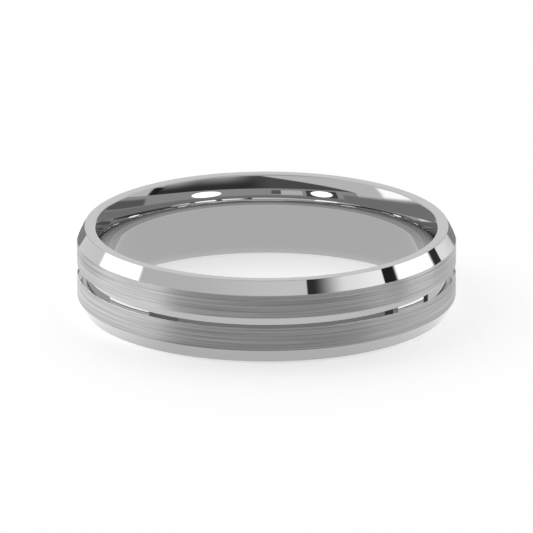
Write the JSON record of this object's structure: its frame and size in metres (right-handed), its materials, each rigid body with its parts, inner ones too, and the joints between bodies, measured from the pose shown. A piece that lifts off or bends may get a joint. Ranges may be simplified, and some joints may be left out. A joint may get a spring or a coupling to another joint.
{
  "type": "wedding band",
  "caption": "Flat court wedding band: satin lands, polished bevels and channel, comfort-fit finger hole.",
  "frame": {"origin": "where the axis of the finger hole meets the surface that the band rests on, its lower rim being down", "axes": "+Z along the finger, the axis of symmetry of the finger hole; X and Y are equivalent radial directions"},
  "size_m": [0.0226, 0.0226, 0.005],
  "materials": {
    "white_metal": "polished"
  },
  "bodies": {
    "root": {"band": "white_metal"}
  },
  "joints": []
}
